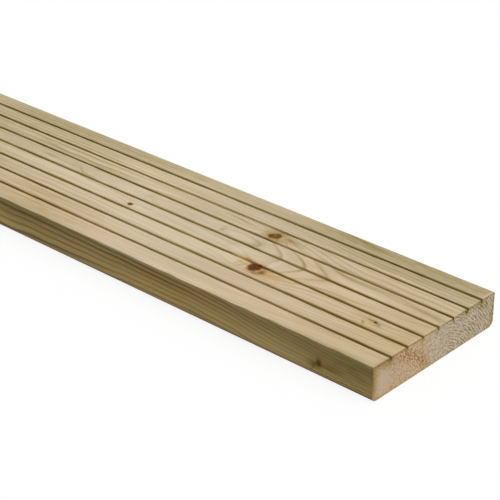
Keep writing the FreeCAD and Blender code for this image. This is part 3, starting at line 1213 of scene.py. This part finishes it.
@dataclass
class Board:
    """The board itself: its lattice of stations, its relief, its mesh and its finishes.

    Attributes:
        low: the frame's box, its lower corner.
        high: the frame's box, its upper corner.
        land_steps: into how many steps of the mesh each land is divided.
        height_steps: into how many steps its thickness is divided.
        chips: where the front top edge is broken, along the board, and by how much, in millimetres.
        drift: how far each groove strays towards the back away from the near end, in millimetres.
        open_steps: the spacing of the stations from some distances along on, as pairs in millimetres.
        far_step: their spacing at the far end, in millimetres.
        close_steps: where they stand closer, as the middle, the reach and the spacing there, in millimetres.
        wear: how far the front top edge is worn on the whole, as extra radius.
        back_wear: the back top edge's wear, of the front one's.
        chip_reach: how far a chip reaches along the edge, to either side.
        saw_depth: how deep the ends' saw marks are.
        sharp_from: the angle between two faces from which their edge is sharp.
    """

    low: Vector
    high: Vector
    land_steps: tuple[int, ...] = (4, 5, 7, 7, 7, 7, 5, 4)
    height_steps: int = 24
    chips: tuple[tuple[float, float], ...] = (
        (2.5, 0.3), (27.5, 0.4), (55.0, 0.4), (77.5, 0.5), (100.0, 0.4), (122.0, 0.5), (165.0, 0.5), (231.0, 0.3),
        (289.0, 0.4), (402.0, 0.4), (660.0, 0.9), (905.0, 0.7), (1180.0, 0.8), (1490.0, 0.6), (1702.0, 0.8),
    )
    drift: tuple[float, ...] = (-0.2, 0.2, 0.8, 0.9, 0.75, 0.45, -0.35)
    open_steps: tuple[tuple[float, float], ...] = ((0, 2.6), (170, 2.6), (200, 4.5), (500, 4.5), (580, 24))
    far_step: float = 26.0
    close_steps: tuple[tuple[float, float, float], ...] = (
        (138, 22, 1.3), (35, 10, 1.2), (254, 8, 1.4), (573, 18, 4), (742, 8, 4), (950, 28, 5), (1325, 26, 5),
        (1662, 20, 5),
    )
    wear: float = 0.25 * MM
    back_wear: float = 0.25
    chip_reach: float = 6.0 * MM
    saw_depth: float = 0.12 * MM
    sharp_from: float = math.radians(40)

    def __post_init__(self) -> None:
        """Take the section's width and thickness, the length and the wood from the frame's box."""
        self.section = Section(self.high.y - self.low.y, self.high.z - self.low.z)
        self.length = self.high.x - self.low.x
        self.wood = Wood(self.section.width / 2, self.section.thickness)

    def stations(self) -> Array:
        """Choose the places along the board: close together at the knots and near the end, and wide apart beyond.

        The spacing is a function of the distance along, and the stations are where its running sum of steps comes
        to a whole number.

        Returns:
            The distances from the near end, from 0 to the board's length.
        """
        fine = np.linspace(0, self.length, 40001)
        places, steps = (np.array(numbers) * MM for numbers in zip(*self.open_steps))
        spacing = np.interp(fine, [*places, self.length], [*steps, self.far_step * MM])
        for centre, reach, step in self.close_steps:
            near = np.exp(-(((fine / MM - centre) / reach) ** 4))
            spacing = spacing * (1 - near) + step * MM * near
        counted = np.concatenate([[0], np.cumsum(np.diff(fine) / spacing[1:])])
        count = int(round(counted[-1])) + 1
        return np.interp(np.linspace(0, counted[-1], count), counted, fine)

    def edge_wear(self, along: Array, across: Array) -> Array:
        """Return how ragged the long top edges are, as extra radius: a gentle ripple along the board with a Gaussian
        at each chip, and much less of it at the back."""
        wear = self.wear * (1 + ripple(along, (0.037, 0.061, 0.017), 70))
        for place, depth in self.chips:
            wear = wear + depth * MM * np.exp(-(((along - place * MM) / self.chip_reach) ** 2))
        return wear * np.where(across < 0, 1.0, self.back_wear)

    def arris_cut(self, along: Array, across: Array) -> Array:
        """Return how far the worn top edges are cut back: a quarter round grown by half the wear, less the plain."""
        plain = self.section.top_arris_radius
        grown = plain + 0.5 * self.edge_wear(along, across)
        return self.section.quarter_round(across, grown) - self.section.quarter_round(across, plain)

    def lattice(self) -> tuple[Array, Array, Array]:
        """Lay out the block's lattice: stations along, columns across and levels up.

        A point's height is its share of the way from the underside to the walking face at its column.

        Returns:
            The distance along, the place across and the height of every lattice point, each indexed by station,
            column and level.
        """
        along, across = self.stations()[::-1], self.section.columns(self.land_steps)
        shares = np.linspace(0, 1, self.height_steps + 1)
        shape = (len(along), len(across), len(shares))
        station, column = np.meshgrid(along, across, indexing="ij")
        bottom = self.section.bottom(column)
        top = self.section.top(column) - self.arris_cut(station, column)
        height = bottom[..., None] + shares * (top - bottom)[..., None]
        return np.broadcast_to(station[..., None], shape), np.broadcast_to(column[..., None], shape), height

    def relief(self, along: Array, across: Array, height: Array) -> tuple[Array, Array, Array]:
        """Give the surface its small unevenness, inwards from the frame's box.

        The grooves stray sideways by ripples along the board and by their drift, their walls lean in and out and
        their floors rise and fall. The ends have fine saw marks: ripples of the place across, with their phase
        slanted a little by the height, which die out near the outline.

        Args:
            along: from the near end.
            across: across the board.
            height: above the underside.

        Returns:
            The moved points' distance along, place across and height.
        """
        section = self.section
        most_stray, most_widening, most_rise = 0.14 * MM, 0.16, 0.12
        settling, rim, at_end, phase_step, slant = 110 * MM, 0.2 * MM, 1e-6, 0.37, 0.15
        beside = section.beside_groove(across)
        number = np.rint((across - beside - section.groove_centres()[0]) / section.groove_pitch)
        in_groove = (np.abs(beside) < section.groove_width) & (height > section.thickness / 2)
        phase = phase_step * number
        stray = most_stray * ripple(along + phase, (0.19, 0.083, 0.031), 20)
        widen = most_widening * ripple(along + phase, (0.13, 0.052, 0.019), 21)
        rise = most_rise * (1 + ripple(along + phase, (0.11, 0.047), 22))
        sunk = np.clip((section.thickness - height) / section.groove_depth, 0, 1)
        drift_places = [-section.width / 2, *section.groove_centres(), section.width / 2]
        drift = np.interp(across, drift_places, [0, *self.drift, 0]) * MM
        settled = 1 - np.exp(-along / settling) * np.exp(-(self.length - along) / self.length)
        moved = across + in_groove * (stray + widen * beside) + drift * settled
        raised = height + in_groove * sunk * section.groove_depth * rise
        ends = np.where(along < at_end, 1.0, np.where(along > self.length - at_end, -1.0, 0.0))
        saw = 0.5 + 0.5 * ripple(across + slant * height, (0.0031, 0.0052, 0.0013), 60)
        inside = np.clip((np.minimum(section.width / 2 - np.abs(across), height) - rim) / MM, 0, 1)
        inside = inside * np.clip((section.top(across) - height - rim) / MM, 0, 1)
        return along + ends * self.saw_depth * saw * inside, moved, raised

    def surface(self, shape: tuple[int, int, int]) -> tuple[Array, Array, Array]:
        """Number the lattice's outer points and join them into the block's six faces.

        Args:
            shape: how many stations, columns and levels there are.

        Returns:
            Which lattice points are outer ones, the four corners of each quad, seen anticlockwise from outside, and
            each quad's material slot.
        """
        outer = np.ones(shape, bool)
        outer[1:-1, 1:-1, 1:-1] = False
        index = np.full(shape, -1)
        index[outer] = np.arange(outer.sum())
        across = self.section.columns(self.land_steps)
        middles = (across[:-1] + across[1:]) / 2
        arris = np.abs(middles) > self.section.width / 2 - self.section.bottom_arris_radius
        below = np.where(arris, np.where(middles < 0, Face.FRONT, Face.BACK), Face.UNDERSIDE)
        faces = (
            (index[:, :, -1], False, Face.WALKING), (index[:, :, 0], True, below), (index[:, 0], False, Face.FRONT),
            (index[:, -1], True, Face.BACK), (index[-1], False, Face.ENDS), (index[0], True, Face.ENDS),
        )
        quads, slots = [], []
        for grid, turned, slot in faces:
            loop = [grid[:-1, :-1], grid[1:, :-1], grid[1:, 1:], grid[:-1, 1:]]
            cells = np.stack(loop[::-1] if turned else loop, axis=-1).reshape(-1, 4)
            quads.append(cells)
            slots.append(np.broadcast_to(slot, loop[0].shape).ravel())
        return outer, np.concatenate(quads), np.concatenate(slots)

    def mesh(self) -> bpy.types.Mesh:
        """Make the closed mesh of the lattice's outer faces, with shared vertices along every edge.

        Returns:
            The mesh, with the attributes that its finishes read.
        """
        along, across, height = self.lattice()
        outer, quads, slots = self.surface(along.shape)
        along, across, height = along[outer], across[outer], height[outer]
        s, y, z = self.relief(along, across, height)
        mesh = bpy.data.meshes.new("board_surface")
        mesh.vertices.add(len(s))
        mesh.vertices.foreach_set("co", np.stack([self.high.x - s, y, z], axis=1).astype(np.float32).ravel())
        mesh.loops.add(quads.size)
        mesh.loops.foreach_set("vertex_index", quads.astype(np.int32).ravel())
        mesh.polygons.add(len(quads))
        mesh.polygons.foreach_set("loop_start", np.arange(0, quads.size, 4, dtype=np.int32))
        mesh.polygons.foreach_set("material_index", slots.astype(np.int32))
        mesh.update(calc_edges=True)
        mesh.polygons.foreach_set("use_smooth", np.ones(len(quads), bool))
        mesh.set_sharp_from_angle(angle=self.sharp_from)
        for name, numbers in self.markings(s, y, z, across, height).items():
            mesh.attributes.new(name, "FLOAT", "POINT").data.foreach_set("value", numbers.astype(np.float32))
        return mesh

    def markings(self, s: Array, y: Array, z: Array, across: Array, height: Array) -> dict[str, Array]:
        """Work out what the finishes read at the vertices.

        Args:
            s: from the near end.
            y: across the board.
            z: above the underside.
            across: the place across on the plain section.
            height: the height on the plain section.

        Returns:
            The rings and how fast they pass, the knots, the tints, the place in a groove, the wear of the long
            edges and the depth in from an end's outline, by name.
        """
        section, wood = self.section, self.wood
        nudge, end_depth, edge_depth, foot = 0.2 * MM, 0.2 * MM, 0.01 * MM, 8 * MM
        half_width, off_centre = section.width / 2, np.abs(across)
        beside, in_from_side = np.abs(section.beside_groove(across)), half_width - off_centre
        upward = height > section.thickness - 1.2 * section.groove_depth
        sunk = np.where(upward, np.clip((section.thickness - height) / section.groove_depth, 0, 1), 0)
        beside_pith, above_pith = y - MM * wood.crown.at(s), z - wood.pith_height
        worn = 1 - eased(in_from_side / (0.30 * MM + 0.9 * self.edge_wear(s, across)), 0.5, 1.4)
        marks = {
            "ring": wood.rings(s, y, z), "groove": sunk * (beside < section.groove_width), "beside": beside,
            "upward": upward.astype(float) * (off_centre < half_width - edge_depth),
            "round": np.arctan2(beside_pith, above_pith) * np.hypot(beside_pith, above_pith), "rim": np.zeros(s.shape),
            **wood.nearest_knot(s, y, z), "worn": np.where(upward & (in_from_side > edge_depth), worn, 0),
        }
        end = (s < end_depth) | (s > self.length - end_depth)
        lower_arris = (off_centre > half_width - section.bottom_arris_radius) & (height < foot)
        edge = ((off_centre > half_width - edge_depth) | lower_arris) & ~end
        marks["rim"][end] = section.depth_in_end(across[end], height[end])
        ahead, aside, up = ((wood.rings(*moved) - marks["ring"]) / nudge
                            for moved in ((s + nudge, y, z), (s, y + nudge, z), (s, y, z + nudge)))
        marks["pace"] = np.where(end, np.hypot(aside, up), np.hypot(ahead, np.where(edge, up, aside)))
        for tint in Tint:
            shown = wood.tint(tint, wood.face_patches, s, y)
            for part, patches, along, aside in (
                    (edge & (y < 0), wood.front_patches, s, z), (edge & (y > 0), wood.back_patches, s, z),
                    (end & (s < MM), wood.end_patches, -y, z), (end & (s > MM), wood.far_end_patches, y, z)):
                shown[part] = wood.tint(tint, patches, along[part], aside[part])
            marks[tint.value] = shown
        return marks

    def finishes(self) -> tuple[LongGrainFinish | SawnEndFinish, ...]:
        """Choose the finishes, in the order of the faces' slots."""
        on_face, on_front, on_back = (
            tuple(patch for patch in patches if patch.is_fine)
            for patches in (self.wood.face_patches, self.wood.front_patches, self.wood.back_patches))
        front = LongGrainFinish(
            "front_edge", early=srgb(210, 185, 126), late=coat(136, 119, 90), warm=srgb(202, 165, 110),
            stained=srgb(168, 152, 100), band_share=0.92, line_share=0.50, line_width=9 * MM, streak=0.11,
            top_shade=0.71, aside="Z", marks=on_front, light=srgb(224, 194, 132))
        return (
            LongGrainFinish("walking_face", early=srgb(210, 192, 164), late=coat(150, 128, 84),
                            warm=srgb(210, 186, 152), stained=srgb(186, 172, 133), marks=on_face),
            front,
            LongGrainFinish("underside", early=srgb(192, 172, 130), late=coat(144, 122, 78),
                            warm=srgb(190, 162, 118), stained=srgb(160, 146, 98)),
            SawnEndFinish(),
            replace(front, name="back_edge", marks=on_back),
        )

    def build(self, tools: GrainTools) -> None:
        """Make the dressed board with the shared node groups, and put it on its body in place of the plain solid."""
        mesh = self.mesh()
        for finish in self.finishes():
            mesh.materials.append(finish.build(tools))
        board = placed("dressed_decking_board", mesh)
        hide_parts(NODE)
        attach(board, "root")
        log.info("%s: %d vertices, %d faces", board.name, len(mesh.vertices), len(mesh.polygons))


@dataclass
class Studio:
    """The pale floor, the soft light and the camera.

    Attributes:
        near_end: the middle of the near end's lower edge.
        azimuth: of the camera, from the board's front towards its near end.
        elevation: of the camera above the floor.
        distance: from the camera to the near end, along the view.
        focal_pixels: the focal length in pixels of the picture.
        picture_pixels: the picture's width and height.
        end_in_picture: where the near end shows, from the picture's upper left.
        sensor: the sensor's width, in millimetres.
        near_limit: the nearest that the camera sees.
        far_limit: the farthest.
        sky: the strength of the sky's light.
        lamp_strength: that of the lamp.
        lamp_from: the direction that its light comes from.
        lamp_angle: how broad it is.
        floor_size: of the floor's sides.
        floor_bounce: how light the floor is for the light that it throws back.
        floor_shown: how much of what the camera sees of it depends on the light.
    """

    near_end: Vector
    azimuth: float = math.radians(42.39)
    elevation: float = math.radians(28.06)
    distance: float = 1.003
    focal_pixels: float = 1670.0
    picture_pixels: float = 500.0
    end_in_picture: tuple[float, float] = (434.38, 362.78)
    sensor: float = 36.0
    near_limit: float = 0.05
    far_limit: float = 100.0
    sky: float = 0.45
    lamp_strength: float = 2.06
    lamp_from: tuple[float, float, float] = (0.54, 0.15, 0.83)
    lamp_angle: float = math.radians(50)
    floor_size: float = 60.0
    floor_bounce: float = 0.35
    floor_shown: float = 0.12

    def camera(self) -> None:
        """Aim the camera so that the middle of the near end's lower edge falls on its place in the picture."""
        data = bpy.data.cameras.new("camera")
        data.sensor_width = self.sensor
        data.lens = self.focal_pixels * self.sensor / self.picture_pixels
        data.clip_start, data.clip_end = self.near_limit, self.far_limit
        camera = placed("camera", data)
        back = Vector((math.sin(self.azimuth) * math.cos(self.elevation),
                       -math.cos(self.azimuth) * math.cos(self.elevation), math.sin(self.elevation)))
        right = Vector((math.cos(self.azimuth), math.sin(self.azimuth), 0.0))
        up = back.cross(right)
        metres_a_pixel = self.distance / self.focal_pixels
        aside = (self.end_in_picture[0] - self.picture_pixels / 2) * metres_a_pixel
        below = (self.end_in_picture[1] - self.picture_pixels / 2) * metres_a_pixel
        place = self.near_end + back * self.distance - right * aside + up * below
        turned = Matrix((right, up, back)).transposed().to_4x4()
        camera.matrix_world = Matrix.Translation(place) @ turned
        bpy.context.scene.camera = camera

    def floor(self) -> None:
        """Lay a plain floor that shows white to the camera and keeps the board's shadow."""
        half = self.floor_size / 2
        mesh = bpy.data.meshes.new("floor")
        mesh.from_pydata([(-half, -half, 0), (half, -half, 0), (half, half, 0), (-half, half, 0)], [], [(0, 1, 2, 3)])
        floor = placed("floor", mesh)
        material = bpy.data.materials.new("pale_floor")
        bench = Bench(material)
        shown = bench.seen_directly()
        level = bench.chosen(shown, self.floor_bounce, self.floor_shown)
        matt = bench.add("ShaderNodeBsdfDiffuse", {"Color": level})
        glow = bench.add("ShaderNodeEmission", {"Color": WHITE, "Strength": bench.times(shown, 1 - self.floor_shown)})
        both = bench.add("ShaderNodeAddShader", {0: matt.outputs[0], 1: glow.outputs[0]})
        bench.add("ShaderNodeOutputMaterial", {"Surface": both.outputs[0]})
        mesh.materials.append(material)

    def light(self) -> None:
        """Light the scene with an even sky, which shows white, and one broad lamp from above."""
        world = bpy.data.worlds.new("studio")
        bpy.context.scene.world = world
        bench = Bench(world)
        strength = bench.chosen(bench.seen_directly(), self.sky, 1.0)
        background = bench.add("ShaderNodeBackground", {"Color": WHITE, "Strength": strength})
        bench.add("ShaderNodeOutputWorld", {"Surface": background.outputs[0]})
        data = bpy.data.lights.new("broad_lamp", "SUN")
        data.energy = self.lamp_strength
        data.angle = self.lamp_angle
        lamp = placed("broad_lamp", data)
        lamp.rotation_mode = "QUATERNION"
        lamp.rotation_quaternion = Vector(self.lamp_from).to_track_quat("Z", "Y")

    def build(self) -> None:
        """Set up the whole studio."""
        self.floor()
        self.light()
        self.camera()
        bpy.context.scene.view_settings.view_transform = "Standard"
        log.info("studio: floor, light and camera")


def main() -> None:
    """Build the board from the plain model's box, and its studio, and note the size of the dressed board's mesh."""
    logging.basicConfig(level=logging.INFO, format="%(name)s: %(message)s")
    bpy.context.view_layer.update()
    low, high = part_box(NODE)
    Board(low, high).build(GrainTools())
    Studio(Vector((high.x, 0.0, low.z))).build()


if __name__ == "__main__":
    main()
